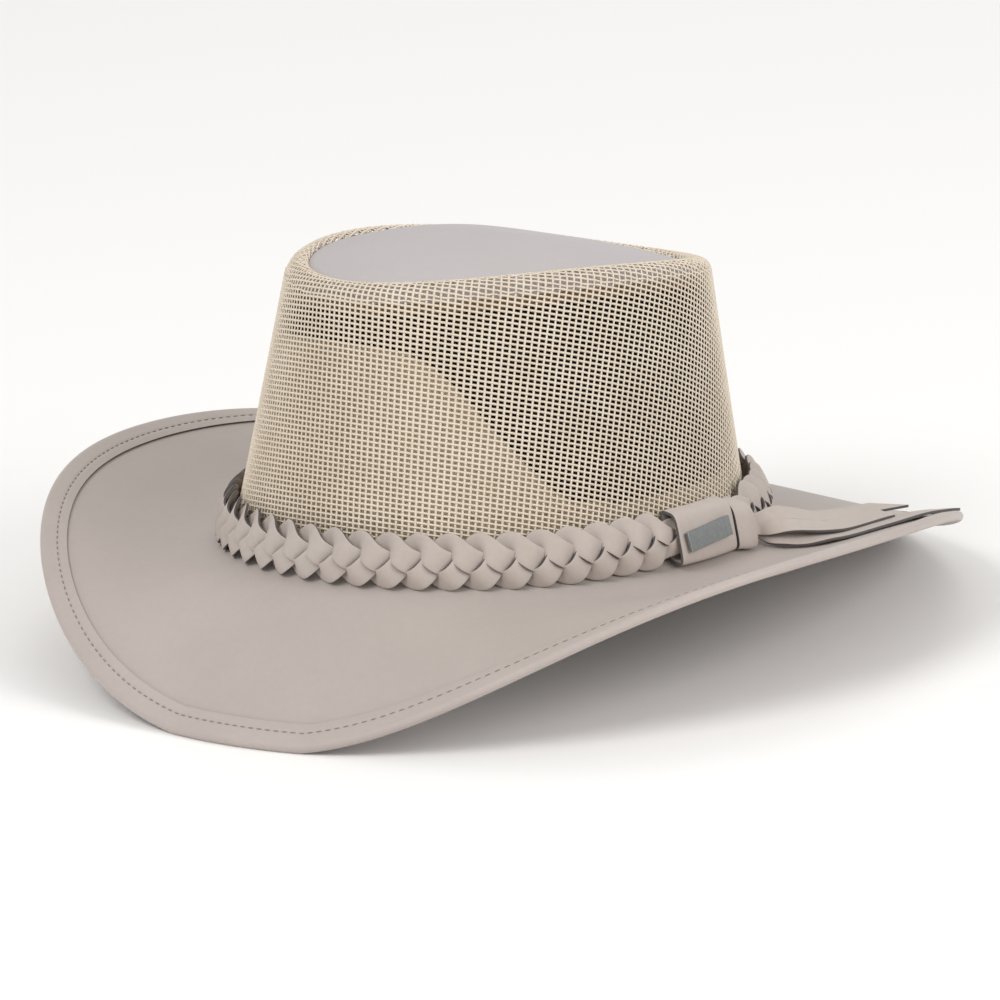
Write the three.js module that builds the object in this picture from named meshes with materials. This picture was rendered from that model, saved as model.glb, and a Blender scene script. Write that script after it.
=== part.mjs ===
// An outback hat: a tapered crown of open net with a leather top, a wide leather brim that droops at
// front and back and turns up at the sides, a braided leather band and two leather tails.
// Millimetres, +Z up. The hat stands on the front and back of its brim at z = 0. The wearer's face is
// towards -Y and the wearer's left is +X. Every ring is told by an angle: 0 at the front, 90 degrees at
// the wearer's left, 180 at the back.
import * as THREE from "three";

const TURN = 2 * Math.PI;
const radians = THREE.MathUtils.degToRad;

// Ovals of the hat. front and side are half lengths, back shifts the centre, taper narrows the front,
// and z, tip, saddle give the height: z + tip * cos(angle) + saddle * cos(2 * angle).
const CROWN_FOOT = { front: 103.3, side: 91, back: -6.9, taper: 0, z: 38.6, tip: 6.4, saddle: 1 };
const CROWN_TOP = { front: 96.8, side: 64.4, back: 3.8, taper: 0.09, z: 138.2, tip: 16.1, saddle: -3.4 };
const BRIM_EDGE = { front: 175.2, side: 169.2, back: 0, taper: 0 };
// Height of the brim's edge: one row for each wave round the hat. Where the hat stands, the surface
// holds the edge up at EDGE_REST.
const EDGE_WAVES = [
  { waves: 0, height: 27.5 },
  { waves: 1, height: 5.1 },
  { waves: 2, height: -27.3 },
  { waves: 3, height: -4.1 },
  { waves: 4, height: -1 },
  { waves: 5, height: -0.6 },
  { waves: 6, height: 1 },
];
const EDGE_REST = 0.4;
// The front of the brim sags most a little to the wearer's left.
const FRONT_SAG = { turn: 14, depth: 3.4, narrowness: 16 };
const FLATTENED_LEATHER = 0.4;

const LEATHER = 1.2;
const BINDING_LEATHER = 1;
const STRAP_LEATHER = 1.4;
const NET_THICKNESS = 1.1;
// How far the brim's leather reaches in under the crown's wall.
const FOOTING = 1.7;
const SWEATBAND_THICKNESS = 1.3;
const GAP = 0.3;

const BRIM_HOLLOW = { front: 0.35, side: 1.0, dip: 5.8 };
const BRIM_SEGMENTS = 54;
const BINDING_WIDTH = 10.5;
const SWEATBAND_HEIGHT = 22;
const LINING_THICKNESS = 1.1;
// The dark cloth behind the whole net: how far in from the crown's face, and its thickness.
const BACKING = { depth: 2.8, thickness: 1 };
// The upper edge of the front lining, as a share of the crown's height.
const LINING_EDGE = [
  { turn: -96, share: 0.24 },
  { turn: -80, share: 0.38 },
  { turn: -62, share: 0.6 },
  { turn: -44, share: 0.745 },
  { turn: -20, share: 0.795 },
  { turn: 0, share: 0.805 },
  { turn: 18, share: 0.8 },
  { turn: 27, share: 0.77 },
  { turn: 36, share: 0.69 },
  { turn: 48, share: 0.48 },
  { turn: 61, share: 0.27 },
  { turn: 72, share: 0.24 },
];

// The net's foot stands this far over the brim's leather.
const NET_LIFT = 1.4;
const NET_WINDOWS = { round: 32, high: 3, bar: 0.2 };
// The net's top edge rolls inward to the seam with the leather top.
const ROLL = [
  { inward: 0, up: -4 },
  { inward: 1.4, up: -0.4 },
  { inward: 4.4, up: 1.4 },
  { inward: 7.4, up: 1.2 },
  { inward: 8.6, up: -0.4 },
];
// The leather top domes up inside the seam; its edge turns under the roll and down behind the net.
const TIP = { inset: 9.7, sunk: 0.4, dome: 10.5 };
const TIP_TURN = [
  { inset: 9.7, drop: 2 },
  { inset: 6.4, drop: 2.6 },
  { inset: 2.2, drop: 6 },
  { inset: 1.8, drop: 9 },
  { inset: 2.8, drop: 9 },
  { inset: 3.4, drop: 6.6 },
  { inset: 7.2, drop: 3.9 },
];

// The braided band: sizes are measured out from the crown's wall and up from the brim.
const BRAID = { leaves: 55, height: 18.6, back: 0.5, edge: 3.4, bulge: 3.6, lift: 1.2, slant: 0.8 };
// Its outer face sags with the brim at the sides, and past the loops it stands away from the crown.
const BRAID_SAG = 0.9;
const STAND_OFF = { from: 113, full: 128, ease: 140, to: 168, out: 2.4 };
// Where the two leather loops press the braid together, in degrees round the hat.
const PRESSED = { from: 83, to: 112.5, blend: 4, back: 2.4, edge: 1.2, bulge: 3.3, low: 3.2, high: 16 };
const KEEPER = { from: 84, to: 101.5, back: 0.65, front: 9.2, low: 0.5, high: 18.6, leather: 1.3 };
const TAIL_LOOP = { from: 102.3, to: 109, back: 0.65, front: 13.9, low: 0.5, high: 18.2, leather: 1.3 };
const PLATE = { length: 26, height: 7.4, thickness: 1.2, turn: 91.7, up: 8 };

// The tails' middle lines. In the loop they stand on edge; then they fall on the brim and lie flat.
// lift is the height over the brim, edgewise the turn of the leather from lying flat to standing.
const TAIL_IN_LOOP = [
  { turn: 103.2, up: 6.9, edgewise: 75, width: 8 },
  { turn: 110.4, up: 6.8, edgewise: 74, width: 8.2 },
];
const TAIL_OUT = 8.8;
const TAIL_SPACING = 1.9;
const TAIL_PITCH = 4.8;
const TAILS = [
  {
    name: "tail_lower",
    layer: 0,
    step: 6.5,
    path: [
      { x: 102, y: 40, lift: 4.4, edgewise: 20, width: 16 },
      { x: 114, y: 51.5, lift: 1.9, edgewise: 0, width: 21 },
      { x: 126, y: 66, lift: 1.9, edgewise: 0, width: 21 },
      { x: 133, y: 78.5, lift: 2.6, edgewise: 0, width: 20.5 },
      { x: 137, y: 87.5, lift: 2.6, edgewise: 0, width: 20 },
    ],
  },
  {
    name: "tail_upper",
    layer: 1,
    step: 8,
    path: [
      { x: 101.2, y: 41.6, lift: 7.4, edgewise: 24, width: 14.5 },
      { x: 107.5, y: 57, lift: 3.2, edgewise: 0, width: 21 },
      { x: 116, y: 79, lift: 2.3, edgewise: 0, width: 21 },
    ],
  },
];

const cosine = (angle, waves) => Math.cos(waves * angle);

function ovalPoint(oval, angle, outward = 0) {
  const side = oval.side + outward;
  const front = oval.front + outward;
  return new THREE.Vector3(
    side * Math.sin(angle) * (1 - oval.taper * Math.cos(angle)),
    oval.back - front * Math.cos(angle),
    oval.z + oval.tip * cosine(angle, 1) + oval.saddle * cosine(angle, 2),
  );
}

function edgePoint(angle) {
  const point = ovalPoint({ ...BRIM_EDGE, z: 0, tip: 0, saddle: 0 }, angle);
  for (const { waves, height } of EDGE_WAVES) point.z += height * cosine(angle, waves);
  const aside = Math.cos(angle - radians(FRONT_SAG.turn)) - 1;
  point.z -= FRONT_SAG.depth * Math.exp(FRONT_SAG.narrowness * aside);
  point.z = Math.max(point.z, EDGE_REST);
  return point;
}

// The crown's outer wall: share 0 at its foot, 1 at its top.
function wallPoint(angle, share, outward = 0) {
  const foot = ovalPoint(CROWN_FOOT, angle, outward);
  return foot.lerp(ovalPoint(CROWN_TOP, angle, outward), share);
}

// The middle of the brim's leather: share 0 at the crown, 1 at the edge.
function brimMiddle(angle, share) {
  const foot = ovalPoint(CROWN_FOOT, angle);
  const edge = edgePoint(angle);
  const sideways = Math.sin(angle) ** 2;
  const bend = BRIM_HOLLOW.front + (BRIM_HOLLOW.side - BRIM_HOLLOW.front) * sideways;
  const rise = (1 - bend) * share + bend * share * share;
  const dip = BRIM_HOLLOW.dip * sideways * 6.75 * share * (1 - share) ** 2;
  const point = foot.clone().lerp(edge, share);
  point.z = foot.z + (edge.z - foot.z) * rise - dip;
  return point;
}

function brimNormal(angle, share) {
  const step = 0.01;
  const along = brimMiddle(angle + step, share).sub(brimMiddle(angle - step, share));
  const out = brimMiddle(angle, share + step).sub(brimMiddle(angle, share - step));
  return out.cross(along).normalize();
}

// A place on the brim: inward is the distance from the edge, above the distance over the middle.
function brimPlace(angle, inward, above) {
  const width = brimMiddle(angle, 1).distanceTo(brimMiddle(angle, 0));
  const share = 1 - inward / width;
  return brimMiddle(angle, share).addScaledVector(brimNormal(angle, share), above);
}

// The height of the brim's upper face under a place in plan.
function brimTopUnder(x, y) {
  let angle = Math.atan2(x / CROWN_FOOT.side, -(y - CROWN_FOOT.back) / CROWN_FOOT.front);
  let share = 0.5;
  for (let pass = 0; pass < 12; pass += 1) {
    const foot = brimMiddle(angle, 0);
    const edge = brimMiddle(angle, 1);
    const run = Math.hypot(edge.x - foot.x, edge.y - foot.y);
    share = ((x - foot.x) * (edge.x - foot.x) + (y - foot.y) * (edge.y - foot.y)) / (run * run);
    const here = brimMiddle(angle, share);
    const next = brimMiddle(angle + 0.01, share);
    const spin = Math.hypot(next.x - here.x, next.y - here.y) / 0.01;
    const side = (x - here.x) * (next.x - here.x) + (y - here.y) * (next.y - here.y);
    angle += side / (0.01 * spin) / spin;
  }
  return brimMiddle(angle, share).z + LEATHER / 2 / brimNormal(angle, share).z;
}

function outward(geometry) {
  const position = geometry.getAttribute("position");
  const index = geometry.getIndex();
  const corners = [0, 1, 2].map(() => new THREE.Vector3());
  let volume = 0;
  for (let i = 0; i < index.count; i += 3) {
    corners.forEach((corner, k) => corner.fromBufferAttribute(position, index.getX(i + k)));
    volume += corners[0].dot(corners[1].clone().cross(corners[2]));
  }
  if (volume < 0) {
    for (let i = 0; i < index.count; i += 3) {
      const second = index.getX(i + 1);
      index.setX(i + 1, index.getX(i + 2));
      index.setX(i + 2, second);
    }
  }
  geometry.computeVertexNormals();
  return geometry;
}

// A solid that closes round the hat: the profile's points are mapped by place(angle, a, b).
function ringSolid(profile, segments, place) {
  const outline = profile.map(({ a, b }) => new THREE.Vector2(a, b));
  const geometry = new THREE.LatheGeometry(outline, segments);
  const position = geometry.getAttribute("position");
  for (let i = 0; i < position.count; i += 1) {
    const column = Math.floor(i / outline.length) % segments;
    const { x: a, y: b } = outline[i % outline.length];
    const point = place((column / segments) * TURN, a, b);
    position.setXYZ(i, point.x, point.y, point.z);
  }
  return outward(geometry);
}

// A sheet cut to a flat outline and bent into place by place(along, across, depth).
function bentSheet(outline, thickness, place) {
  const shape = new THREE.Shape(outline.map(({ x, y }) => new THREE.Vector2(x, y)));
  const flat = new THREE.ExtrudeGeometry(shape, { depth: thickness, bevelEnabled: false });
  const position = flat.getAttribute("position");
  for (let i = 0; i < position.count; i += 1) {
    const point = place(position.getX(i), position.getY(i), position.getZ(i));
    position.setXYZ(i, point.x, point.y, point.z);
  }
  flat.setIndex([...Array(position.count).keys()]);
  return outward(flat);
}

function finish(name, color, roughness, metalness, geometry) {
  const material = new THREE.MeshStandardMaterial({ color, roughness, metalness });
  const mesh = new THREE.Mesh(geometry, material);
  mesh.name = name;
  return mesh;
}

const stoneLeather = [0xc3b5a9, 0.62, 0];

function makeBrim() {
  const half = LEATHER / 2;
  // Stations across the leather: under the binding by distance from the edge, the rest by share.
  const underBinding = [BINDING_LEATHER + GAP, BINDING_WIDTH];
  const shares = [0.82, 0.64, 0.46, 0.28, 0.12, 0];
  const stations = underBinding.length + shares.length;
  const place = (angle, station, above) => {
    if (station < underBinding.length) return brimPlace(angle, underBinding[station], above);
    const share = shares[station - underBinding.length];
    const run = brimMiddle(angle, 1).distanceTo(brimMiddle(angle, 0));
    const inner = share === 0 ? -FOOTING / run : share;
    return brimMiddle(angle, inner).addScaledVector(brimNormal(angle, inner), above);
  };
  const across = [...Array(stations).keys()];
  const upper = across.map((a) => ({ a, b: half }));
  const lower = across.map((a) => ({ a, b: -half })).reverse();
  const profile = [...upper, ...lower, upper[0]];
  return finish("brim", ...stoneLeather, ringSolid(profile, BRIM_SEGMENTS, place));
}

function makeBinding() {
  const under = LEATHER / 2 + GAP;
  const over = under + BINDING_LEATHER;
  const profile = [
    { a: BINDING_WIDTH, b: over },
    { a: 2.2, b: over },
    { a: 0.6, b: over * 0.75 },
    { a: 0, b: 0 },
    { a: 0.25, b: -over * 0.47 },
    { a: 0.9, b: -over * 0.84 },
    { a: 2.2, b: -over },
    { a: BINDING_WIDTH, b: -over },
    { a: BINDING_WIDTH, b: -under },
    { a: BINDING_LEATHER, b: -under },
    { a: BINDING_LEATHER, b: under },
    { a: BINDING_WIDTH, b: under },
    { a: BINDING_WIDTH, b: over },
  ];
  // The lowest leather is pressed flat on the surface where the hat stands.
  const place = (angle, inward, above) => {
    const point = brimPlace(angle, inward, above);
    const inside = inward >= BINDING_LEATHER && Math.abs(above) <= under;
    point.z = Math.max(point.z, inside ? FLATTENED_LEATHER : 0);
    return point;
  };
  return finish("brim_binding", ...stoneLeather, ringSolid(profile, BRIM_SEGMENTS, place));
}

function makeCrownNet() {
  const columns = NET_WINDOWS.round * 2;
  const rows = NET_WINDOWS.high * 2 + 1;
  const angleAt = (column) => {
    const pair = Math.floor(column / 2);
    const inside = column % 2 === 0 ? 0 : NET_WINDOWS.bar * 2;
    return ((pair + inside) / NET_WINDOWS.round) * TURN;
  };
  const shareAt = (row) => {
    const bar = NET_WINDOWS.bar / NET_WINDOWS.high;
    const step = (1 - bar) / NET_WINDOWS.high;
    return Math.floor(row / 2) * step + (row % 2) * bar;
  };
  const levels = rows + ROLL.length;
  const footLift = LEATHER / 2 + NET_LIFT;
  const surface = (column, level, depth) => {
    const angle = angleAt(column % columns) - NET_WINDOWS.bar / NET_WINDOWS.round * TURN;
    if (level <= rows) {
      if (level === 0) return onWall(angle, -depth, footLift);
      const top = 1 + ROLL[0].up / (CROWN_TOP.z - CROWN_FOOT.z);
      return wallPoint(angle, shareAt(level) * top, -depth);
    }
    const turn = ROLL[level - rows];
    const point = ovalPoint(CROWN_TOP, angle, -turn.inward - depth * 0.4);
    point.z += turn.up - depth * 0.9;
    return point;
  };
  const positions = [];
  const indexAt = (column, level, depth) => ((column % columns) * levels + level) * 2 + depth;
  for (let column = 0; column < columns; column += 1) {
    for (let level = 0; level < levels; level += 1) {
      for (const depth of [0, NET_THICKNESS]) positions.push(...surface(column, level, depth).toArray());
    }
  }
  const triangles = [];
  const quad = (a, b, c, d) => triangles.push(a, b, c, a, c, d);
  const isWindow = (column, level) => level < rows && level % 2 === 1 && column % 2 === 1;
  const filled = (column, level) => {
    const around = (column + columns) % columns;
    return level >= 0 && level < levels - 1 && !isWindow(around, level);
  };
  for (let column = 0; column < columns; column += 1) {
    for (let level = 0; level < levels - 1; level += 1) {
      if (!filled(column, level)) continue;
      const next = column + 1;
      const at = indexAt;
      quad(at(column, level, 0), at(next, level, 0), at(next, level + 1, 0), at(column, level + 1, 0));
      quad(at(column, level + 1, 1), at(next, level + 1, 1), at(next, level, 1), at(column, level, 1));
      if (!filled(column, level - 1)) {
        quad(at(column, level, 1), at(next, level, 1), at(next, level, 0), at(column, level, 0));
      }
      if (!filled(column, level + 1)) {
        const up = level + 1;
        quad(at(column, up, 0), at(next, up, 0), at(next, up, 1), at(column, up, 1));
      }
      if (!filled(column - 1, level)) {
        quad(at(column, level, 1), at(column, level, 0), at(column, level + 1, 0), at(column, level + 1, 1));
      }
      if (!filled(column + 1, level)) {
        quad(at(next, level, 0), at(next, level, 1), at(next, level + 1, 1), at(next, level + 1, 0));
      }
    }
  }
  const geometry = new THREE.BufferGeometry();
  geometry.setAttribute("position", new THREE.Float32BufferAttribute(positions, 3));
  geometry.setIndex(triangles);
  return finish("crown_net", 0xd8cbb9, 0.6, 0, outward(geometry));
}

function makeCrownTip() {
  const height = CROWN_TOP.z - CROWN_FOOT.z;
  const shares = [0, 0.4, 0.75, 1];
  const top = shares.map((share) => ({ share, under: 0 }));
  const turned = TIP_TURN.map(({ inset, drop }) => ({ inset, drop }));
  const bottom = shares.map((share) => ({ share: share * 0.985, under: LEATHER })).reverse();
  const stations = [...top, ...turned, ...bottom];
  const place = (angle, index) => {
    const { share, under, inset, drop } = stations[index];
    if (share === undefined) return onWall(angle, -inset, height - drop);
    const rim = ovalPoint(CROWN_TOP, angle, -TIP.inset);
    const point = new THREE.Vector3(0, CROWN_TOP.back, CROWN_TOP.z).lerp(rim, share);
    point.z += TIP.dome * (1 - share * share) - TIP.sunk - under;
    return point;
  };
  const profile = stations.map((station, a) => ({ a, b: 0 }));
  return finish("crown_tip", ...stoneLeather, ringSolid(profile, 40, place));
}

// A solid strip: sections of equal length laid one after another, closed at both ends.
function stripSolid(sections) {
  const corners = sections[0].length;
  const positions = sections.flat().flatMap((point) => point.toArray());
  const triangles = [];
  for (let i = 0; i < sections.length - 1; i += 1) {
    for (let k = 0; k < corners; k += 1) {
      const near = i * corners;
      const far = near + corners;
      const next = (k + 1) % corners;
      triangles.push(near + k, near + next, far + next, near + k, far + next, far + k);
    }
  }
  const last = (sections.length - 1) * corners;
  for (let k = 1; k < corners - 1; k += 1) triangles.push(0, k + 1, k, last, last + k, last + k + 1);
  const geometry = new THREE.BufferGeometry();
  geometry.setAttribute("position", new THREE.Float32BufferAttribute(positions, 3));
  geometry.setIndex(triangles);
  return outward(geometry);
}

function makeLining() {
  const height = CROWN_TOP.z - CROWN_FOOT.z;
  const low = (SWEATBAND_HEIGHT + GAP) / height;
  const outer = -NET_THICKNESS - GAP;
  const inner = outer - LINING_THICKNESS;
  const first = LINING_EDGE[0].turn;
  const last = LINING_EDGE[LINING_EDGE.length - 1].turn;
  const stations = 24;
  const sections = [];
  for (let i = 0; i <= stations; i += 1) {
    const turn = first + ((last - first) * i) / stations;
    const after = Math.max(LINING_EDGE.findIndex((row) => row.turn >= turn - 1e-6), 1);
    const [a, b] = [LINING_EDGE[after - 1], LINING_EDGE[after]];
    const high = THREE.MathUtils.lerp(a.share, b.share, (turn - a.turn) / (b.turn - a.turn));
    const corner = (share, out) => onWall(radians(turn), out, share * height);
    const middle = (low + high) / 2;
    sections.push([
      corner(low, outer), corner(middle, outer), corner(high, outer),
      corner(high, inner), corner(middle, inner), corner(low, inner),
    ]);
  }
  return finish("crown_lining", 0xe0cfb6, 0.9, 0, stripSolid(sections));
}

// Dark cloth all round behind the net, from the sweatband up to the turned-down edge of the top.
function makeBacking() {
  const allowance = Math.max(...TIP_TURN.map(({ drop }) => drop));
  const low = SWEATBAND_HEIGHT + GAP;
  const high = CROWN_TOP.z - CROWN_FOOT.z - allowance - 2 * GAP;
  const outer = -BACKING.depth;
  const inner = outer - BACKING.thickness;
  const profile = [
    { a: outer, b: low },
    { a: outer, b: high },
    { a: inner, b: high },
    { a: inner, b: low },
    { a: outer, b: low },
  ];
  return finish("net_backing", 0x26221f, 0.95, 0, ringSolid(profile, 36, onWall));
}

function makeSweatband() {
  const outer = -FOOTING - 2 * GAP;
  const inner = outer - SWEATBAND_THICKNESS;
  const low = -LEATHER / 2;
  const profile = [
    { a: outer, b: low },
    { a: outer, b: SWEATBAND_HEIGHT },
    { a: inner, b: SWEATBAND_HEIGHT },
    { a: inner, b: low },
    { a: outer, b: low },
  ];
  return finish("sweatband", 0xd9cdbd, 0.85, 0, ringSolid(profile, 40, onWall));
}

// A place against the crown's wall: out from its outer face, up from the brim's middle at its foot.
function onWall(angle, out, up) {
  return wallPoint(angle, up / (CROWN_TOP.z - CROWN_FOOT.z), out);
}

// The angle round the hat where a share of the band's length has been laid, starting at the front.
function angleAtShare(share) {
  const steps = 360;
  const marks = [0];
  let before = ovalPoint(CROWN_FOOT, 0, 4);
  for (let i = 1; i <= steps; i += 1) {
    const here = ovalPoint(CROWN_FOOT, (i / steps) * TURN, 4);
    marks.push(marks[i - 1] + Math.hypot(here.x - before.x, here.y - before.y));
    before = here;
  }
  const wanted = share * marks[steps];
  const after = Math.min(Math.max(marks.findIndex((mark) => mark > wanted), 1), steps);
  const part = (wanted - marks[after - 1]) / (marks[after] - marks[after - 1]);
  return ((after - 1 + part) / steps) * TURN;
}

function makeBand() {
  const perLeaf = 3;
  const segments = BRAID.leaves * perLeaf;
  const angles = [...Array(segments).keys()].map((i) => angleAtShare(i / segments));
  const rows = [-1, -0.55, 0, 0.55, 1];
  const front = rows.map((row) => ({ a: row, b: 1 }));
  const profile = [...front, { a: 1, b: 0 }, { a: -1, b: 0 }, front[0]];
  // Each leaf rises along its length and drops where the next one covers it; the rows lean apart.
  const leafRise = (leaf, row) => {
    const slanted = row > 0 ? leaf - BRAID.slant * row : leaf + 0.5 + BRAID.slant * row;
    return slanted - Math.floor(slanted);
  };
  const place = (turn, row, face) => {
    const column = Math.round((turn / TURN) * segments) % segments;
    const angle = angles[column];
    const degrees = THREE.MathUtils.radToDeg(angle);
    const smooth = THREE.MathUtils.smoothstep;
    const { from, to, blend } = PRESSED;
    const pressed = smooth(degrees, from - blend, from) * (1 - smooth(degrees, to, to + blend));
    const mix = (free, held) => free + (held - free) * pressed;
    const rise = leafRise(column / perLeaf, row) - 0.5;
    const crown = 1 - row * row;
    const back = mix(BRAID.back, PRESSED.back);
    const edge = mix(BRAID.edge, PRESSED.edge);
    const bulge = mix(BRAID.bulge * crown + BRAID.lift * rise, PRESSED.bulge * crown);
    const low = LEATHER / 2 + mix(GAP, PRESSED.low);
    const high = LEATHER / 2 + mix(BRAID.height - BRAID.lift * (rise + 0.5), PRESSED.high);
    const leaving = smooth(degrees, STAND_OFF.from, STAND_OFF.full);
    const returning = 1 - smooth(degrees, STAND_OFF.ease, STAND_OFF.to);
    const out = back + STAND_OFF.out * leaving * returning + face * (edge + bulge);
    const sag = mix(BRAID_SAG, 0) * face * Math.sin(angle) ** 2;
    return onWall(angle, out, low + (high - low) * (row + 1) / 2 - sag * (1 - row) / 2);
  };
  return finish("hat_band", ...stoneLeather, ringSolid(profile, segments, place));
}

// A leather loop round the band: its section is a rounded box that runs a little way round the hat.
function makeLoop(name, loop) {
  const stations = 4;
  const along = [...Array(stations).keys()].map((i) => i / (stations - 1));
  const outer = along.map((a) => ({ a, b: 1 }));
  const inner = along.map((a) => ({ a, b: 0 })).reverse();
  const roundness = 8;
  const corner = (value) => Math.sign(value) * Math.abs(value) ** (2 / roundness);
  const place = (turn, share, face) => {
    const angle = radians(loop.from + (loop.to - loop.from) * share);
    const shrink = (1 - face) * loop.leather;
    const halfOut = (loop.front - loop.back) / 2 - shrink;
    const halfUp = (loop.high - loop.low) / 2 - shrink;
    const out = (loop.front + loop.back) / 2 + halfOut * corner(Math.cos(turn));
    const up = (loop.high + loop.low) / 2 + halfUp * corner(Math.sin(turn));
    return onWall(angle, out, LEATHER / 2 + up);
  };
  return finish(name, ...stoneLeather, ringSolid([...outer, ...inner, outer[0]], 20, place));
}

function makePlate() {
  const angle = radians(PLATE.turn);
  const plate = new THREE.BoxGeometry(PLATE.length, PLATE.height, PLATE.thickness);
  const mesh = finish("keeper_plate", 0x8f9496, 0.38, 0.9, plate);
  const along = onWall(angle + 0.01, 0, 0).sub(onWall(angle - 0.01, 0, 0)).setZ(0).normalize();
  const up = onWall(angle, 0, 10).sub(onWall(angle, 0, 0)).normalize();
  const out = along.clone().cross(up).normalize();
  const depth = KEEPER.front + GAP + PLATE.thickness / 2;
  mesh.position.copy(onWall(angle, 0, LEATHER / 2 + PLATE.up)).addScaledVector(out, depth);
  mesh.quaternion.setFromRotationMatrix(new THREE.Matrix4().makeBasis(along, up, out));
  return mesh;
}

function makeTail({ name, layer, step, path }) {
  const rows = [...TAIL_IN_LOOP, ...path];
  const start = TAIL_IN_LOOP.map(({ turn, up }) => onWall(radians(turn), TAIL_OUT, LEATHER / 2 + up));
  const lying = path.map(({ x, y, lift }) => new THREE.Vector3(x, y, brimTopUnder(x, y) + lift));
  const middle = new THREE.CatmullRomCurve3([...start, ...lying]);
  const length = middle.getLength();
  const marks = rows.map((row, i) => middle.getLengths(400)[Math.round((i * 400) / (rows.length - 1))]);
  // A column of the table, read at a distance along the tail.
  const readAt = (along, column) => {
    const after = Math.max(marks.findIndex((mark) => mark >= along - 1e-6), 1);
    if (along >= length) return rows[rows.length - 1][column];
    const part = THREE.MathUtils.smoothstep(along, marks[after - 1], marks[after]);
    return THREE.MathUtils.lerp(rows[after - 1][column], rows[after][column], part);
  };
  const place = (along, across, above) => {
    const share = Math.min(along / length, 1);
    const forward = middle.getTangentAt(share);
    const centre = middle.getPointAt(share).addScaledVector(forward, Math.max(along - length, 0));
    const inward = new THREE.Vector3(0, 0, 1).cross(forward).normalize();
    const rise = forward.clone().cross(inward).normalize();
    const turned = radians(readAt(along, "edgewise"));
    const width = inward.multiplyScalar(Math.cos(turned)).addScaledVector(rise, Math.sin(turned));
    const face = forward.clone().cross(width).normalize();
    const point = centre.clone().addScaledVector(width, (across * readAt(along, "width")) / 2);
    const under = brimTopUnder(centre.x, centre.y);
    point.z += (brimTopUnder(point.x, point.y) - under) * Math.cos(turned) ** 2;
    return point.addScaledVector(face, above + layer * TAIL_SPACING);
  };
  // One prong of the stepped end is longer than the other.
  const stations = Math.ceil(length / TAIL_PITCH);
  const cuts = [...Array(stations).keys()].map((i) => ({ along: i * TAIL_PITCH, near: -1 }));
  cuts.push({ along: length, near: -1 });
  cuts.push({ along: length + 0.1, near: 0 }, { along: length + step, near: 0 });
  const sections = cuts.map(({ along, near }) => {
    const across = [near, (near + 1) / 2, 1];
    const over = across.map((v) => place(along, v, STRAP_LEATHER / 2));
    const below = across.map((v) => place(along, v, -STRAP_LEATHER / 2)).reverse();
    return [...over, ...below];
  });
  return finish(name, ...stoneLeather, stripSolid(sections));
}

const parts = [
  makeBrim(),
  makeBinding(),
  makeCrownNet(),
  makeCrownTip(),
  makeSweatband(),
  makeLining(),
  makeBacking(),
  makeBand(),
  makeLoop("keeper", KEEPER),
  makePlate(),
  makeLoop("tail_loop", TAIL_LOOP),
  ...TAILS.map(makeTail),
];
const hat = new THREE.Group();
parts.forEach((part) => hat.add(part));

export default hat;
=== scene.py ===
# A leather hat with a crown of coarse net and a plaited leather band, standing on the front and back of
# its brim. Every piece is cut flat and laid on the same few ovals, as the real one is shaped on a block.
import math

import bpy
import numpy as np
from mathutils import Matrix, Vector


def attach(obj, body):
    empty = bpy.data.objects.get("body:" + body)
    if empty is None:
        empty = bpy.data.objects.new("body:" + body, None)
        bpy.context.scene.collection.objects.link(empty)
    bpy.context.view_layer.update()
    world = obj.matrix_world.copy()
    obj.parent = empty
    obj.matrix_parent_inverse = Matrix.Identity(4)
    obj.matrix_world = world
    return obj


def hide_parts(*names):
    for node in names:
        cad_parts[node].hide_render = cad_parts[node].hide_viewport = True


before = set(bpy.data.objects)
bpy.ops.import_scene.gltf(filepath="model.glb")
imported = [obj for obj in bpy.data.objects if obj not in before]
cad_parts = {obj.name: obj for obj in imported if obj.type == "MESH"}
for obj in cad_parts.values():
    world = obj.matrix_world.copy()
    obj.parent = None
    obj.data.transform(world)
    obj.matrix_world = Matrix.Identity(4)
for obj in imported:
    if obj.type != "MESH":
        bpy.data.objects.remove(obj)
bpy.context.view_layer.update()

bpy.ops.object.select_all(action="DESELECT")
MM = 0.001

# The camera stands far off with a long lens, a little above the brim and to the left of the wearer's
# face, and leans slightly. It looks past the hat's middle, AIM, so that AIM falls on AIM_PIXEL.
AZIMUTH = math.radians(38.4)
ELEVATION = math.radians(15.8)
LEAN = math.radians(-3.19)
DISTANCE = 4.5
PICTURE = 1000
PIXELS_PER_METRE = 2700
AIM = Vector((0, -6.3, 79.2)) * MM
AIM_PIXEL = (485.6, 417.4)
SENSOR = 36

backward = Vector(
    (
        math.sin(AZIMUTH) * math.cos(ELEVATION),
        -math.cos(AZIMUTH) * math.cos(ELEVATION),
        math.sin(ELEVATION),
    )
)
level = Vector((math.cos(AZIMUTH), math.sin(AZIMUTH), 0))
upright = backward.cross(level)
picture_right = level * math.cos(LEAN) + upright * math.sin(LEAN)
picture_up = upright * math.cos(LEAN) - level * math.sin(LEAN)
centre = AIM + picture_right * (PICTURE / 2 - AIM_PIXEL[0]) / PIXELS_PER_METRE
centre -= picture_up * (PICTURE / 2 - AIM_PIXEL[1]) / PIXELS_PER_METRE
eye = AIM + backward * DISTANCE
backward = (eye - centre).normalized()
picture_right = picture_up.cross(backward).normalized()
picture_up = backward.cross(picture_right)
bpy.ops.object.camera_add()
camera = bpy.context.object
camera.name = "camera"
camera.data.sensor_width = SENSOR
camera.data.lens = SENSOR * DISTANCE * PIXELS_PER_METRE / PICTURE
camera.data.clip_end = 50
turn = Matrix((picture_right, picture_up, backward)).transposed()
camera.matrix_world = Matrix.Translation(eye) @ turn.to_4x4()
bpy.context.scene.camera = camera
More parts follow.
